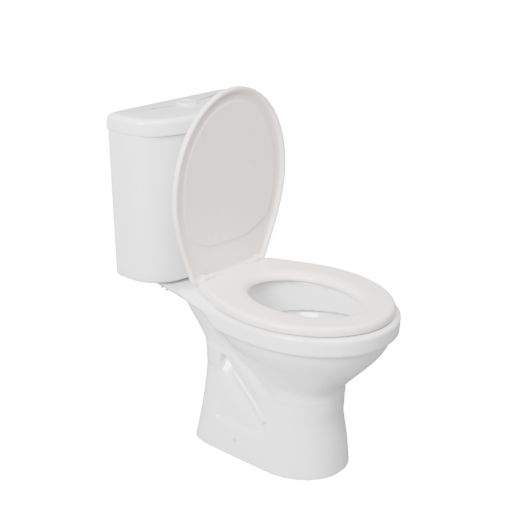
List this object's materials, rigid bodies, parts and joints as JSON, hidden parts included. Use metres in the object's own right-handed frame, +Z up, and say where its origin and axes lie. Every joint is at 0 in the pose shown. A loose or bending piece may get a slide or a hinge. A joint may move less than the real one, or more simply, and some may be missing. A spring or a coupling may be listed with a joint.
{
  "type": "close coupled toilet",
  "caption": "Two-piece toilet: floor-standing pan with a bolted cistern, hinged seat ring and lid, dual flush button, flush valve and float fill valve.",
  "frame": {"origin": "on the floor under the middle of the whole toilet's box", "axes": "+Z up, -Y towards the front of the bowl, +Y towards the wall, X = 0 is the centre plane"},
  "size_m": [0.398, 0.654, 0.8285],
  "materials": {
    "china": "glossy white vitreous china glaze",
    "seat_plastic": "smooth warm white moulded plastic",
    "white_plastic": "white moulded plastic",
    "blue_plastic": "moulded plastic, moving valve parts",
    "grey_plastic": "moulded plastic",
    "rubber": "matt black rubber",
    "bumper_rubber": "soft translucent white bumper",
    "brass": "plain brass",
    "steel": "stainless steel"
  },
  "bodies": {
    "pan": {"bolt_washer_left": "rubber", "bolt_washer_right": "rubber", "cistern": "china", "cistern_bolt_left": "brass", "cistern_bolt_right": "brass", "cistern_wing_nut_left": "brass", "cistern_wing_nut_right": "brass", "coupling_gasket": "rubber", "fill_valve_backnut": "white_plastic", "fill_valve_body": "white_plastic", "fill_valve_head": "grey_plastic", "fill_valve_washer": "rubber", "float_arm_pin": "steel", "flush_valve_backnut": "white_plastic", "flush_valve_body": "white_plastic", "flush_valve_washer": "rubber", "full_lever_pin": "steel", "half_lever_pin": "steel", "hinge_pin_left": "steel", "hinge_pin_right": "steel", "hinge_post_left": "seat_plastic", "hinge_post_right": "seat_plastic", "hinge_washer_left": "rubber", "hinge_washer_right": "rubber", "hinge_wing_nut_left": "white_plastic", "hinge_wing_nut_right": "white_plastic", "pan": "china"},
    "seat_ring": {"ring_bumper_back_left": "bumper_rubber", "ring_bumper_back_right": "bumper_rubber", "ring_bumper_front_left": "bumper_rubber", "ring_bumper_front_right": "bumper_rubber", "seat_ring": "seat_plastic"},
    "seat_lid": {"seat_lid": "seat_plastic"},
    "cistern_lid": {"button_bezel": "white_plastic", "button_nut": "white_plastic", "cistern_lid": "china", "full_button_spring": "steel", "half_button_spring": "steel"},
    "half_button": {"half_flush_button": "white_plastic", "half_push_rod": "white_plastic"},
    "full_button": {"full_flush_button": "white_plastic", "full_push_rod": "white_plastic"},
    "half_lever": {"half_flush_lever": "blue_plastic"},
    "full_lever": {"full_flush_lever": "blue_plastic"},
    "flush_core": {"flush_valve_core": "blue_plastic", "flush_valve_seal": "rubber"},
    "float": {"float_cup": "white_plastic", "float_rod": "grey_plastic"},
    "float_arm": {"float_arm": "blue_plastic"}
  },
  "joints": [
    {"name": "seat_lid_hinge", "type": "hinge", "parent": "pan", "child": "seat_lid", "pos_m": [0, 0.108, 0.4028], "axis": [-1, 0, 0], "range_deg": [-90, 0]},
    {"name": "seat_ring_hinge", "type": "hinge", "parent": "pan", "child": "seat_ring", "pos_m": [0, 0.108, 0.4028], "axis": [-1, 0, 0], "range_deg": [0, 90]},
    {"name": "cistern_lid_lift", "type": "slide", "parent": "pan", "child": "cistern_lid", "axis": [0, 0, 1], "range_m": [0, 0.15]},
    {"name": "half_flush_press", "type": "slide", "parent": "cistern_lid", "child": "half_button", "axis": [0, 0, -1], "range_m": [0, 0.007], "stiffness_N_per_m": 400, "springref_m": -0.004, "deforming": ["half_button_spring"]},
    {"name": "full_flush_press", "type": "slide", "parent": "cistern_lid", "child": "full_button", "axis": [0, 0, -1], "range_m": [0, 0.007], "stiffness_N_per_m": 400, "springref_m": -0.004, "deforming": ["full_button_spring"]},
    {"name": "half_flush_lever_turn", "type": "hinge", "parent": "pan", "child": "half_lever", "pos_m": [-0.036, 0.255, 0.671], "axis": [0, 1, 0], "range_deg": [0, 17.5]},
    {"name": "full_flush_lever_turn", "type": "hinge", "parent": "pan", "child": "full_lever", "pos_m": [0.036, 0.255, 0.671], "axis": [0, -1, 0], "range_deg": [0, 15.6]},
    {"name": "flush_valve_lift", "type": "slide", "parent": "pan", "child": "flush_core", "axis": [0, 0, 1], "range_m": [0, 0.0075]},
    {"name": "float_rise", "type": "slide", "parent": "pan", "child": "float", "axis": [0, 0, 1], "range_m": [0, 0.005]},
    {"name": "float_arm_turn", "type": "hinge", "parent": "pan", "child": "float_arm", "pos_m": [0.09, 0.255, 0.6555], "axis": [0, -1, 0], "range_deg": [0, 14]}
  ],
  "couplings": [
    {"joint": "half_flush_lever_turn", "follows": "half_flush_press", "rad_per_m": 42.8},
    {"joint": "full_flush_lever_turn", "follows": "full_flush_press", "rad_per_m": 38.5},
    {"joint": "flush_valve_lift", "follows": "full_flush_press", "ratio": 1},
    {"joint": "float_arm_turn", "follows": "float_rise", "rad_per_m": 46}
  ]
}
